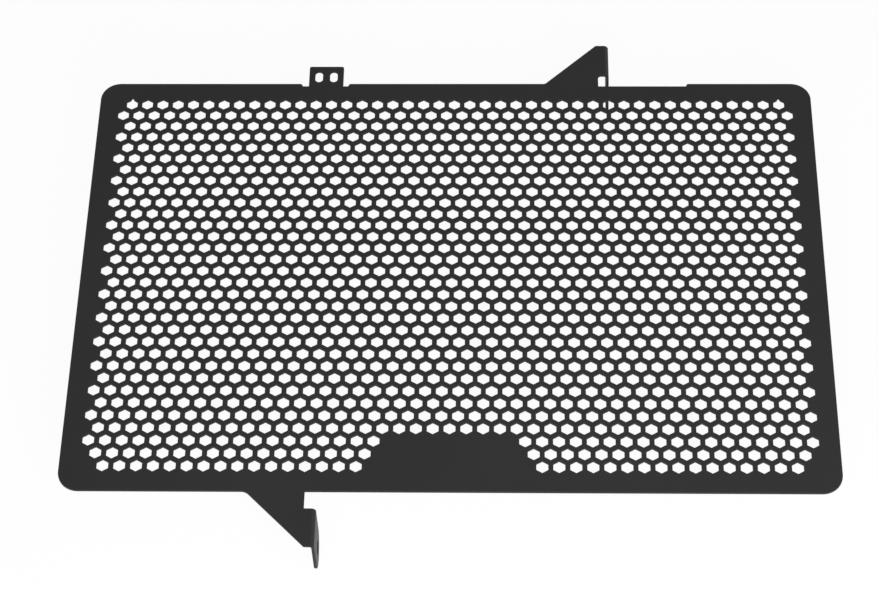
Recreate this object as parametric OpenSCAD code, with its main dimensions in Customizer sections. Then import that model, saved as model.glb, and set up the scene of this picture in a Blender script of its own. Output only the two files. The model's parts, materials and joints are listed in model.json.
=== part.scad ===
// Radiator guard for a motorcycle: one laser-cut, folded and powder-coated sheet.
// It lies face up. X runs across the guard, Y up it, and Z out of its front face.
// The two ears fold back, so they point down, and Z = 0 is the tip of the longer one.

/* [Sheet] */
// Thickness of the sheet
sheet_t = 1.5; // [1:0.1:3]
// Width of the panel
panel_w = 369.4; // [300:0.5:440]
// Height of the panel
panel_h = 241.8; // [200:0.5:300]
// Radius of the panel's corners
corner_r = 10; // [4:0.5:20]
// Inside radius of the folds
bend_r = 1; // [0.5:0.1:3]

/* [Grille] */
// Distance between neighbouring cells, centre to centre
cell_pitch = 16; // [14:0.5:24]
// Width of the metal left between two cells
cell_web = 4.8; // [3:0.1:6]
// Plain border between the outermost cells and the sides of the panel
side_border = 8.5; // [6:0.1:30]
// Plain border between the outermost cells and the panel's top and bottom
end_border = 9.5; // [6:0.1:30]
// Clear distance between a panel corner and the nearest cell
corner_clear = 16.5; // [10:0.5:30]
// Width of the plain badge area at its top
badge_top_w = 66; // [30:1:100]
// Width of the plain badge area at its bottom
badge_bottom_w = 82; // [30:1:120]
// Height of the plain badge area, from the panel's bottom edge
badge_h = 31; // [16:0.5:60]

/* [Tie tab] */
// Width of the tab for cable ties
tab_w = 18; // [14:0.5:30]
// Height of the tab above the panel
tab_h = 11.4; // [9:0.1:20]
// Place of the tab across the panel, from the middle
tab_x = -67.3; // [-140:0.1:20]
// Radius of the tab's corners
tab_r = 1; // [0.5:0.1:3]
// Width of each tie slot
slot_w = 4; // [3:0.1:5]
// Length of each tie slot
slot_l = 7; // [5:0.1:8]
// Distance between the two tie slots, centre to centre
slot_gap = 7.7; // [6.5:0.1:9]
// Land above the tie slots
slot_land = 3.2; // [2:0.1:5]

/* [Reliefs] */
// Depth of the relief cuts beside the tab and under the upper ear
relief_d = 1.6; // [0.5:0.1:4]
// Width of the relief cut on the tab's left side
left_relief_w = 3.9; // [2:0.1:8]
// Width of the relief cut on the tab's right side
right_relief_w = 3.4; // [2:0.1:8]
// Slant of a relief cut's ends, as width to depth
relief_slant = 0.6; // [0:0.1:1.5]

/* [Ears] */
// Width of an ear, along its fold
ear_w = 19.8; // [14:0.1:30]
// Diameter of the bolt hole in each ear
bolt_d = 7; // [5:0.1:9]
// How far a relief cut reaches past its fold
fold_setback = 3.2; // [2:0.1:6]

/* [Upper ear] */
// Place of the outer face of the upper ear across the panel, from the middle
upper_x = 80.6; // [30:0.1:130]
// Gap between the panel's top edge and the upper ear
upper_gap = 5.6; // [4:0.1:15]
// Reach of the upper ear behind the panel's front face
upper_reach = 38; // [22:0.5:60]
// Angle of the upper fold
upper_bend = 87.95; // [80:0.05:100]
// Width of the gusset at its foot
upper_foot = 33.5; // [20:0.5:60]
// Width of the gusset at its tip
upper_tip = 6.7; // [5.5:0.1:16]
// Radius at the gusset's foot
upper_foot_r = 2; // [0.5:0.5:8]
// Radius in the inner corner of the slot between the gusset and the panel
slot_corner_r = 1.5; // [0.3:0.1:2.5]
// Length of the recess that clears the upper ear in the flat sheet
recess_w = 40.7; // [20:0.1:60]

/* [Lower ear] */
// Place of the outer face of the lower ear across the panel, from the middle
lower_x = -61.8; // [-130:0.1:-10]
// Gap between the panel's bottom edge and the lower ear
lower_gap = 9.1; // [5:0.1:20]
// Reach of the lower ear behind the panel's front face
lower_reach = 30.5; // [22:0.5:60]
// Angle of the lower fold
lower_bend = 90; // [80:1:100]
// Width of the gusset at its foot
lower_foot = 33.7; // [20:0.5:60]
// Width of the gusset at its tip
lower_tip = 5; // [4:0.1:16]
// Radius at the gusset's foot
lower_foot_r = 5; // [0.5:0.5:8]

/* [Hidden] */
$fn = 64;

coat = "#2f2f31";
overlap = 0.5;
extra_turn = 10;
foot_steps = 6;
fold_out_r = bend_r + sheet_t;

// Depth of the lowest point of an ear behind the panel's front face
function tip_depth(reach, angle) =
    fold_out_r + (reach - fold_out_r) * sin(angle) - min(bend_r * cos(angle), fold_out_r * cos(angle));
front_z = max(tip_depth(upper_reach, upper_bend), tip_depth(lower_reach, lower_bend));

// Moves the panel so that the guard's full height is centred on the origin
mid_y = (lower_gap - upper_gap) / 2;

cell_flat = cell_pitch - cell_web;
cell_r = cell_flat / sqrt(3);
row_pitch = cell_pitch * sqrt(3) / 2;
field_w = panel_w - 2 * side_border;
field_h = panel_h - 2 * end_border;
rows = floor((field_h - 2 * cell_r) / row_pitch) + 1;
long_cells = floor((field_w - cell_flat) / cell_pitch) + 1;

slant_w = relief_slant * relief_d;
tab_left = tab_x - tab_w / 2;
tab_right = tab_x + tab_w / 2;
slot_y = panel_h / 2 + tab_h - slot_land - slot_l / 2;

// Is row number r, counted from the top, one of the long rows?
function is_long(r) = r % 2 == 1;
function cells_in(r) = is_long(r) ? long_cells : long_cells - 1;
function cell_x(r, i) = (i - (cells_in(r) - 1) / 2) * cell_pitch;
function cell_y(r) = ((rows - 1) / 2 - r) * row_pitch;

// Half the width of the badge area at height y
function badge_half(y) =
    let (up = (y + panel_h / 2) / badge_h)
    (badge_bottom_w + (badge_top_w - badge_bottom_w) * up) / 2;

function in_badge(x, y) = y < badge_h - panel_h / 2 && abs(x) < badge_half(y);
function in_corner(x, y) = norm([panel_w / 2 - abs(x), panel_h / 2 - abs(y)]) < corner_clear + cell_r;

// One corner to be cut off a square edge, with its point at the origin
module corner_cut(r) {
    difference() {
        translate([-overlap, -overlap])
            square(r + overlap);
        translate([r, r])
            circle(r);
    }
}

// A rectangle with rounded corners, centred in X, that stands on Y = 0
module rounded_plate(w, h, r, all_four = true) {
    difference() {
        translate([-w / 2, 0])
            square([w, h]);
        for (side = [-1, 1])
            translate([side * w / 2, h])
                scale_sign(-side, -1)
                    corner_cut(r);
        if (all_four)
            for (side = [-1, 1])
                translate([side * w / 2, 0])
                    scale_sign(-side, 1)
                        corner_cut(r);
    }
}

// Mirrors its children where a sign is negative
module scale_sign(sx, sy) {
    mirror([sx < 0 ? 1 : 0, 0])
        mirror([0, sy < 0 ? 1 : 0])
            children();
}

// Half a disc on the Y axis, round towards +X
module half_disc(r) {
    intersection() {
        circle(r);
        translate([0, -r])
            square([r, 2 * r]);
    }
}

// An upright slot with round ends, centred
module slot() {
    straight = slot_l - slot_w;
    square([slot_w, straight], center = true);
    for (end = [-1, 1])
        translate([0, end * straight / 2])
            rotate(end * 90)
                half_disc(slot_w / 2);
}

// The panel with its four rounded corners
module panel() {
    translate([0, -panel_h / 2])
        rounded_plate(panel_w, panel_h, corner_r);
}

// The small tab for cable ties on the top edge
module tie_tab() {
    translate([tab_x, panel_h / 2 - relief_d - overlap])
        rounded_plate(tab_w, tab_h + relief_d + overlap, tab_r, all_four = false);
}

// A relief cut into the top edge, with its floor from x0 to x1 and ends that slope by w0 and w1
module edge_relief(x0, x1, w0, w1) {
    y = panel_h / 2;
    polygon([
        [x0, y - relief_d],
        [x1, y - relief_d],
        [x1 + w1, y],
        [x1 + w1, y + overlap],
        [x0 - w0, y + overlap],
        [x0 - w0, y]
    ]);
}

// A gusset above the top edge that carries a fold at its right-hand side
module gusset(fold_x, foot, tip, gap, foot_r) {
    base = panel_h / 2;
    top = base + gap + ear_w;
    lean = atan2(top - base, foot - tip);
    start_x = fold_x - foot - foot_r * tan(lean / 2);
    polygon(concat(
        [
            [start_x, base - overlap],
            [fold_x - fold_setback, base - overlap],
            [fold_x - fold_setback, base + gap],
            [fold_x, base + gap],
            [fold_x, top],
            [fold_x - tip, top]
        ],
        [
            for (i = [foot_steps : -1 : 0])
                let (a = lean * i / foot_steps)
                [start_x + foot_r * sin(a), base + foot_r * (1 - cos(a))]
        ]
    ));
}

upper_fold_x = upper_x - fold_out_r;
lower_fold_x = lower_x - fold_out_r;

// The outline of the flat part of the sheet, without its holes
module outline() {
    difference() {
        union() {
            panel();
            gusset(
                upper_fold_x, upper_foot - fold_out_r, upper_tip - fold_out_r,
                upper_gap, upper_foot_r);
            translate([upper_fold_x - fold_setback, panel_h / 2 + upper_gap])
                scale_sign(1, -1)
                    corner_cut(slot_corner_r);
            mirror([0, 1])
                gusset(
                    lower_fold_x, lower_foot - fold_out_r, lower_tip - fold_out_r,
                    lower_gap, lower_foot_r);
        }
        edge_relief(tab_left - left_relief_w + slant_w, tab_left + overlap, slant_w, 0);
        edge_relief(tab_right - overlap, tab_right + right_relief_w - slant_w, 0, slant_w);
        edge_relief(upper_fold_x - fold_setback, upper_x + recess_w - slant_w, 0, slant_w);
    }
    tie_tab();
}

// Every cell of the grille, as six-sided holes with a point upwards
module cells() {
    for (r = [0 : rows - 1])
        for (i = [0 : cells_in(r) - 1])
            if (!in_badge(cell_x(r, i), cell_y(r)) && !in_corner(cell_x(r, i), cell_y(r)))
                translate([cell_x(r, i), cell_y(r)])
                    rotate(30)
                        circle(cell_r, $fn = 6);
}

// The two slots in the tie tab
module tie_slots() {
    for (side = [-1, 1])
        translate([tab_x + side * slot_gap / 2, slot_y])
            slot();
}

// The flat of an ear: X along its reach, Y along the fold
module ear_blank(straight) {
    difference() {
        union() {
            square([straight, ear_w]);
            translate([straight, ear_w / 2])
                half_disc(ear_w / 2);
        }
        translate([straight, ear_w / 2])
            circle(d = bolt_d);
    }
}

// An ear with its fold, on its own axis: Z along the fold, +X out of the sheet's front.
// The fold starts out a little longer, and is cut off flush at the fold line.
module folded_ear(reach, angle) {
    difference() {
        rotate(angle) {
            mirror([0, 1, 0])
                rotate_extrude(angle = angle + extra_turn)
                    translate([bend_r, 0])
                        square([sheet_t, ear_w]);
            translate([bend_r, 0, 0])
                rotate([90, 0, 90])
                    linear_extrude(height = sheet_t)
                        ear_blank(reach - fold_out_r - ear_w / 2);
        }
        translate([0, -fold_out_r, -overlap])
            cube([fold_out_r + overlap, fold_out_r, ear_w + 2 * overlap]);
    }
}

// Sets an ear on its fold line, with the lower end of the fold at height y
module place_ear(fold_x, y) {
    translate([fold_x, y, front_z - fold_out_r])
        rotate([-90, -90, 0])
            children();
}

module radiator_guard() {
    color(coat) translate([0, mid_y, 0]) {
        translate([0, 0, front_z - sheet_t])
            linear_extrude(height = sheet_t)
                difference() {
                    outline();
                    cells();
                    tie_slots();
                }
        place_ear(upper_fold_x, panel_h / 2 + upper_gap)
            folded_ear(upper_reach, upper_bend);
        place_ear(lower_fold_x, -panel_h / 2 - lower_gap - ear_w)
            folded_ear(lower_reach, lower_bend);
    }
}

radiator_guard();
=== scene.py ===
# A guard for a motorcycle's radiator, lying face up with its folded ears on a white floor.

import json
import math
from collections import Counter

import bpy
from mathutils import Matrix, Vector

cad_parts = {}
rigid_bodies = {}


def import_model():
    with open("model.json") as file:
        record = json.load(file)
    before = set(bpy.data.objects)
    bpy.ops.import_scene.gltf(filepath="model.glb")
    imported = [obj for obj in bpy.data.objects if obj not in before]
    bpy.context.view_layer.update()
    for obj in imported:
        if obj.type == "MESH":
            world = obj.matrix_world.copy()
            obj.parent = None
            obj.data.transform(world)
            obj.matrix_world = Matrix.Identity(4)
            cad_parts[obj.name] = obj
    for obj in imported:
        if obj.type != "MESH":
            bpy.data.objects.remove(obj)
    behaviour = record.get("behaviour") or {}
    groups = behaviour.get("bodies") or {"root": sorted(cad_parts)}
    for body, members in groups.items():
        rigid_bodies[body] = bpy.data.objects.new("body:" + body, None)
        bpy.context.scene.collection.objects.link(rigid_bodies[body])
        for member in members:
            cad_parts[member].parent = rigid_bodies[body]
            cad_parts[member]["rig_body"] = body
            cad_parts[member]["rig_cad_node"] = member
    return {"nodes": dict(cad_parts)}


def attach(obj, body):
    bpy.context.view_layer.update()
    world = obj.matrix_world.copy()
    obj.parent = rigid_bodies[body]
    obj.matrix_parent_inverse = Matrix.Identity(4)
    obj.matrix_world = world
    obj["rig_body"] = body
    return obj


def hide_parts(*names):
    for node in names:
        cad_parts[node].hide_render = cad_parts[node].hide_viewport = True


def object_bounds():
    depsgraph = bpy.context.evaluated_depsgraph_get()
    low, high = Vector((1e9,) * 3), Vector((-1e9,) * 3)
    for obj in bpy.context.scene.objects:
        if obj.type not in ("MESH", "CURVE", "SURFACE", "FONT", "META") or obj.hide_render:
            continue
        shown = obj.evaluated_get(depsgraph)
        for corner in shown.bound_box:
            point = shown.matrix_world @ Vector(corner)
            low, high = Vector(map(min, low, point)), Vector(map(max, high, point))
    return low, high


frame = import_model()
solid_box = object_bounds()


# The guard is one sheet of aluminium, 1.5 mm thick. A laser cuts its outline, the honeycomb of
# small cells, the two tie slots and the bolt holes, and its two ears are then folded back.
# The bare badge area at the bottom edge is left uncut.
MM = 0.001
thickness = 1.5 * MM
panel_w = 369.4 * MM
panel_h = 241.8 * MM
middle_y = 1.75 * MM
front_z = solid_box[1].z


def only(piece):
    """Leaves one object selected and active, in object mode."""
    if bpy.context.mode != "OBJECT":
        bpy.ops.object.mode_set(mode="OBJECT")
    bpy.ops.object.select_all(action="DESELECT")
    piece.select_set(True)
    bpy.context.view_layer.objects.active = piece


def pick(piece, kind, test):
    """Selects the vertices, edges or faces of a piece that pass a test, and stays in edit mode."""
    only(piece)
    bpy.ops.object.mode_set(mode="EDIT")
    bpy.ops.mesh.select_mode(type=kind)
    bpy.ops.mesh.select_all(action="DESELECT")
    bpy.ops.object.mode_set(mode="OBJECT")
    mesh = piece.data
    parts = {"VERT": mesh.vertices, "EDGE": mesh.edges, "FACE": mesh.polygons}[kind]
    for part in parts:
        part.select = test(part)
    bpy.ops.object.mode_set(mode="EDIT")


def merge_doubles():
    """Merges corners that lie on each other, in the piece that is in edit mode."""
    merge_distance = 0.002 * MM
    bpy.ops.mesh.select_all(action="SELECT")
    bpy.ops.mesh.remove_doubles(threshold=merge_distance)


def ends(mesh, edge):
    """The places of an edge's two ends."""
    return [mesh.vertices[i].co for i in edge.vertices]


# The outline and the ears come from a copy of the solid, without its marks of a CAD node. The
# solid's coarser grille lies within these limits of the panel's middle, and its edges stay out.
grille_limit_x = 178 * MM
grille_limit_y = 114 * MM
ear_low_y = 128.2 * MM
upper_fold_x = 78.0 * MM
lower_fold_x = -64.4 * MM
solid = frame["nodes"]["radiator_guard"]
sheet = solid.copy()
sheet.data = solid.data.copy()
sheet.name = "guard_sheet"
sheet.parent = None
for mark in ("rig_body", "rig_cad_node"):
    del sheet[mark]
bpy.context.scene.collection.objects.link(sheet)
only(sheet)
bpy.ops.object.mode_set(mode="EDIT")
merge_doubles()


def is_front(face):
    """Is this face on the panel's flat front?"""
    faces_up = 0.99
    depth_slack = 0.01 * MM
    return face.normal.z > faces_up and face.center.z > front_z - depth_slack


def is_ear(face):
    """The outer side of a fold or an ear, which is the front of the sheet carried round."""
    faces_right = 0.05
    fold_x = upper_fold_x if face.center.y > 0 else lower_fold_x
    return (
        face.normal.x > faces_right
        and abs(face.center.y) > ear_low_y
        and face.center.x > fold_x
    )


def is_in_grille(edge):
    """Do both of this edge's ends lie within the limits of the solid's own grille?"""
    return all(
        abs(end.x) < grille_limit_x and abs(end.y - middle_y) < grille_limit_y
        for end in ends(sheet.data, edge)
    )


pick(sheet, "FACE", is_front)
bpy.ops.mesh.region_to_loop()
bpy.ops.object.mode_set(mode="OBJECT")
for edge in sheet.data.edges:
    if edge.select and is_in_grille(edge):
        edge.select = False
bpy.ops.object.mode_set(mode="EDIT")
bpy.ops.mesh.duplicate()
bpy.ops.mesh.separate(type="SELECTED")
bpy.ops.object.mode_set(mode="OBJECT")
outline = [piece for piece in bpy.context.selected_objects if piece != sheet][0]
pick(sheet, "FACE", lambda face: not is_ear(face))
bpy.ops.mesh.delete(type="FACE")
bpy.ops.object.mode_set(mode="OBJECT")

# One cell is drawn and repeated: a row, the row that nests above it, and then sixteen such pairs.
pitch = 8 * MM
web = 2.4 * MM
cells_across = 44
rows = 32
row_pitch = pitch * math.sqrt(3) / 2
last_cell_x = (cells_across - 1) / 2 * pitch
last_row_up = (rows - 1) / 2 * row_pitch
bpy.ops.object.select_all(action="DESELECT")
bpy.ops.mesh.primitive_circle_add(
    vertices=6,
    radius=pitch / math.sqrt(3),
    fill_type="NGON",
    location=(-last_cell_x, middle_y - last_row_up, front_z),
)
net = bpy.context.object
net.name = "net"
bpy.ops.object.transform_apply(location=True, rotation=True, scale=True)
bpy.ops.object.mode_set(mode="EDIT")
bpy.ops.mesh.select_mode(type="FACE")
bpy.ops.mesh.select_all(action="SELECT")
bpy.ops.mesh.inset(thickness=web / 2, depth=0)
bpy.ops.mesh.delete(type="ONLY_FACE")
bpy.ops.object.mode_set(mode="OBJECT")
for name, count, step in (
    ("row", cells_across, (pitch, 0, 0)),
    ("nested_row", 2, (pitch / 2, row_pitch, 0)),
    ("pairs_of_rows", rows // 2, (0, 2 * row_pitch, 0)),
):
    array = net.modifiers.new(name, "ARRAY")
    array.count = count
    array.use_relative_offset = False
    array.use_constant_offset = True
    array.constant_offset_displace = step
    bpy.ops.object.modifier_apply(modifier=name)

# The laser doesn't cut the cells of the badge area and of the lower corners, nor those that
# would stand in the border at a row's end.
cell_point = (pitch - web) / math.sqrt(3)
corner_clear = 16.5 * MM
badge_top_w = 66 * MM
badge_bottom_w = 82 * MM
badge_h = 31 * MM
row_reach = 21.7 * pitch


def left_out(face):
    """Is this face in a cell that isn't cut? Its cell's middle is worked out first."""
    row = round((face.center.y - middle_y + last_row_up) / row_pitch)
    shift = 0.5 if row % 2 == 0 else 0
    y = row * row_pitch - last_row_up
    x = (round(face.center.x / pitch - shift) + shift) * pitch
    up = (y + panel_h / 2) / badge_h
    badge_half = (badge_bottom_w + (badge_top_w - badge_bottom_w) * up) / 2
    in_badge = up < 1 and abs(x) < badge_half
    from_corner = math.hypot(panel_w / 2 - abs(x), panel_h / 2 - abs(y))
    return in_badge or from_corner < corner_clear + cell_point or abs(x) > row_reach


pick(net, "FACE", left_out)
bpy.ops.mesh.delete(type="FACE")
merge_doubles()

# The first and the last cell of the top row have a small nick in their top corner. The net's
# edge over it moves up first, so that the nick and its rounded edge have room.
nick = 1.1 * MM
nicked_x = last_cell_x - pitch / 2
cell_top_y = middle_y + last_row_up + cell_point
net_top_y = cell_top_y + web / math.sqrt(3)
place_slack = pitch / 20


def over_end_cell(corner, y):
    """Is this corner at the height y over the first or the last cell of the top row?"""
    aside = abs(abs(corner.co.x) - nicked_x)
    return aside < place_slack and abs(corner.co.y - y) < place_slack


pick(net, "VERT", lambda corner: over_end_cell(corner, net_top_y))
bpy.ops.transform.translate(value=(0, nick, 0))
pick(net, "VERT", lambda corner: over_end_cell(corner, cell_top_y))
bpy.ops.mesh.bevel(offset=nick, segments=1, affect="VERTICES")
bpy.ops.mesh.delete(type="FACE")

# The plain border between the net and the outline is filled in, round the tie slots. The edges
# round a cell are under 3.3 mm long, and those round the whole net over 4.6 mm.
longest_cell_edge = 4 * MM
only(net)
outline.select_set(True)
bpy.ops.object.join()
sides = Counter(key for face in net.data.polygons for key in face.edge_keys)


def is_border_edge(edge):
    """Is this edge on the outline, which has no faces yet, or round the whole net?"""
    a, b = ends(net.data, edge)
    round_net = sides[edge.key] == 1 and (a - b).length > longest_cell_edge
    return sides[edge.key] == 0 or round_net


pick(net, "EDGE", is_border_edge)
bpy.ops.mesh.fill(use_beauty=True)

# The net and its border join the ears, and the front is made to face up.
only(sheet)
net.select_set(True)
bpy.ops.object.join()
bpy.ops.object.mode_set(mode="EDIT")
merge_doubles()
bpy.ops.mesh.normals_make_consistent(inside=False)
bpy.ops.object.mode_set(mode="OBJECT")
if sum(face.normal.z * face.area for face in sheet.data.polygons) < 0:
    bpy.ops.object.mode_set(mode="EDIT")
    bpy.ops.mesh.flip_normals()
    bpy.ops.object.mode_set(mode="OBJECT")

# The drawn face gets the sheet's thickness, and the coat rounds every cut edge a little.
edge_rounding = 0.25 * MM
cut_edge_turn = math.radians(70)
smooth_turn = math.radians(50)
body = sheet.modifiers.new("thickness", "SOLIDIFY")
body.thickness = thickness
body.offset = -1
body.use_even_offset = True
bpy.ops.object.modifier_apply(modifier="thickness")
rounding = sheet.modifiers.new("coated_edges", "BEVEL")
rounding.width = edge_rounding
rounding.segments = 2
rounding.limit_method = "ANGLE"
rounding.angle_limit = cut_edge_turn
rounding.use_clamp_overlap = False
rounding.loop_slide = False
bpy.ops.object.modifier_apply(modifier="coated_edges")
bpy.ops.object.shade_smooth_by_angle(angle=smooth_turn)
evened = sheet.modifiers.new("flat_faces", "WEIGHTED_NORMAL")
evened.keep_sharp = True
bpy.ops.object.modifier_apply(modifier="flat_faces")

# Black powder coat, baked on: satin, with the fine orange peel that such a coat has. Its tone
# drifts a little over some 7 cm, and the bumps of the peel are about 0.7 mm wide.
darker_black = (0.0180, 0.0180, 0.0188, 1)
lighter_black = (0.0210, 0.0210, 0.0219, 1)
coat = bpy.data.materials.new("black_powder_coat")
coat.use_nodes = True
nodes, links = coat.node_tree.nodes, coat.node_tree.links
shader = nodes["Principled BSDF"]
shader.inputs["Specular IOR Level"].default_value = 0.12
place = nodes.new("ShaderNodeTexCoord")
drift = nodes.new("ShaderNodeTexNoise")
drift.inputs["Scale"].default_value = 14
drift.inputs["Detail"].default_value = 3
links.new(place.outputs["Object"], drift.inputs["Vector"])
tone = nodes.new("ShaderNodeValToRGB")
darker, lighter = tone.color_ramp.elements
darker.position = 0.3
darker.color = darker_black
lighter.position = 0.7
lighter.color = lighter_black
links.new(drift.outputs["Fac"], tone.inputs["Fac"])
links.new(tone.outputs["Color"], shader.inputs["Base Color"])
grain = nodes.new("ShaderNodeTexNoise")
grain.inputs["Scale"].default_value = 1500
grain.inputs["Detail"].default_value = 2
links.new(place.outputs["Object"], grain.inputs["Vector"])
gloss = nodes.new("ShaderNodeMapRange")
gloss.inputs["To Min"].default_value = 0.4
gloss.inputs["To Max"].default_value = 0.52
links.new(grain.outputs["Fac"], gloss.inputs["Value"])
links.new(gloss.outputs["Result"], shader.inputs["Roughness"])
peel = nodes.new("ShaderNodeBump")
peel.inputs["Strength"].default_value = 0.25
peel.inputs["Distance"].default_value = 0.02 * MM
links.new(grain.outputs["Fac"], peel.inputs["Height"])
links.new(peel.outputs["Normal"], shader.inputs["Normal"])
sheet.data.materials.clear()
sheet.data.materials.append(coat)

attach(sheet, "root")
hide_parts("radiator_guard")


# The floor is a plain white table. The camera, gloss and glass see it nearly as white light, and
# the small share that is still paint keeps the guard's shadow.
floor_size = 12
light_share = 0.95


def seen(tree):
    """Puts out 1 for a ray from the camera, in gloss or through glass, and 0 for any other."""
    ray = tree.nodes.new("ShaderNodeLightPath")
    found = ray.outputs["Is Camera Ray"]
    for kind in ("Is Glossy Ray", "Is Transmission Ray"):
        either = tree.nodes.new("ShaderNodeMath")
        either.operation = "MAXIMUM"
        tree.links.new(found, either.inputs[0])
        tree.links.new(ray.outputs[kind], either.inputs[1])
        found = either.outputs[0]
    return found


bpy.ops.object.select_all(action="DESELECT")
bpy.ops.mesh.primitive_plane_add(size=floor_size, location=(0, 0, 0))
floor = bpy.context.object
floor.name = "floor"
white = bpy.data.materials.new("white_table")
white.use_nodes = True
nodes, links = white.node_tree.nodes, white.node_tree.links
nodes.clear()
out = nodes.new("ShaderNodeOutputMaterial")
paint = nodes.new("ShaderNodeBsdfDiffuse")
paint.inputs["Color"].default_value = (0.9, 0.9, 0.9, 1)
light = nodes.new("ShaderNodeEmission")
light.inputs["Strength"].default_value = 1
share = nodes.new("ShaderNodeMath")
share.operation = "MULTIPLY"
share.inputs[1].default_value = light_share
links.new(seen(white.node_tree), share.inputs[0])
blend = nodes.new("ShaderNodeMixShader")
links.new(share.outputs[0], blend.inputs["Fac"])
links.new(paint.outputs["BSDF"], blend.inputs[1])
links.new(light.outputs["Emission"], blend.inputs[2])
links.new(blend.outputs["Shader"], out.inputs["Surface"])
floor.data.materials.append(white)

# The room is a plain background. It is white where it is seen, and lights the guard evenly and
# softly.
room_light = 0.2
world = bpy.data.worlds.new("room")
bpy.context.scene.world = world
world.use_nodes = True
nodes, links = world.node_tree.nodes, world.node_tree.links
sky = nodes["Background"]
sky.inputs["Color"].default_value = (1, 1, 1, 1)
strength = nodes.new("ShaderNodeMapRange")
strength.inputs["To Min"].default_value = room_light
strength.inputs["To Max"].default_value = 1
links.new(seen(world.node_tree), strength.inputs["Value"])
links.new(strength.outputs["Result"], sky.inputs["Strength"])

# Two soft square lamps of one size light the guard: the stronger one from the near side, and the
# weaker one from the right, beyond it.
lamp_width = 0.6


def lamp(name, power, place, aim):
    """Sets a lamp at its place and turns it to its aim."""
    data = bpy.data.lights.new(name, "AREA")
    data.size = lamp_width
    data.energy = power
    made = bpy.data.objects.new(name, data)
    bpy.context.scene.collection.objects.link(made)
    made.location = place
    made.rotation_euler = (Vector(aim) - Vector(place)).to_track_quat("-Z", "Y").to_euler()


lamp("broad_lamp", power=9.5, place=(0.1, -0.65, 0.6), aim=(0, -0.05, 0.03))
lamp("side_lamp", power=3, place=(1.1, 0.7, 0.7), aim=(0, 0, 0.03))

# The camera stands on the side of the guard's bottom edge, about a metre over the floor, and
# looks at the guard, 33 degrees off straight down. Its turns are in degrees.
camera_place = (0.023646, -0.660627, 1.035142)
camera_turns = (33.0204, 1.1297, 0.8923)
view = bpy.data.cameras.new("camera")
view.sensor_width = 36
view.lens = 99.103
view.clip_start = 0.05
view.clip_end = 50
camera = bpy.data.objects.new("camera", view)
bpy.context.scene.collection.objects.link(camera)
camera.location = camera_place
camera.rotation_euler = [math.radians(turn) for turn in camera_turns]
bpy.context.scene.camera = camera
bpy.context.scene.view_settings.view_transform = "Standard"
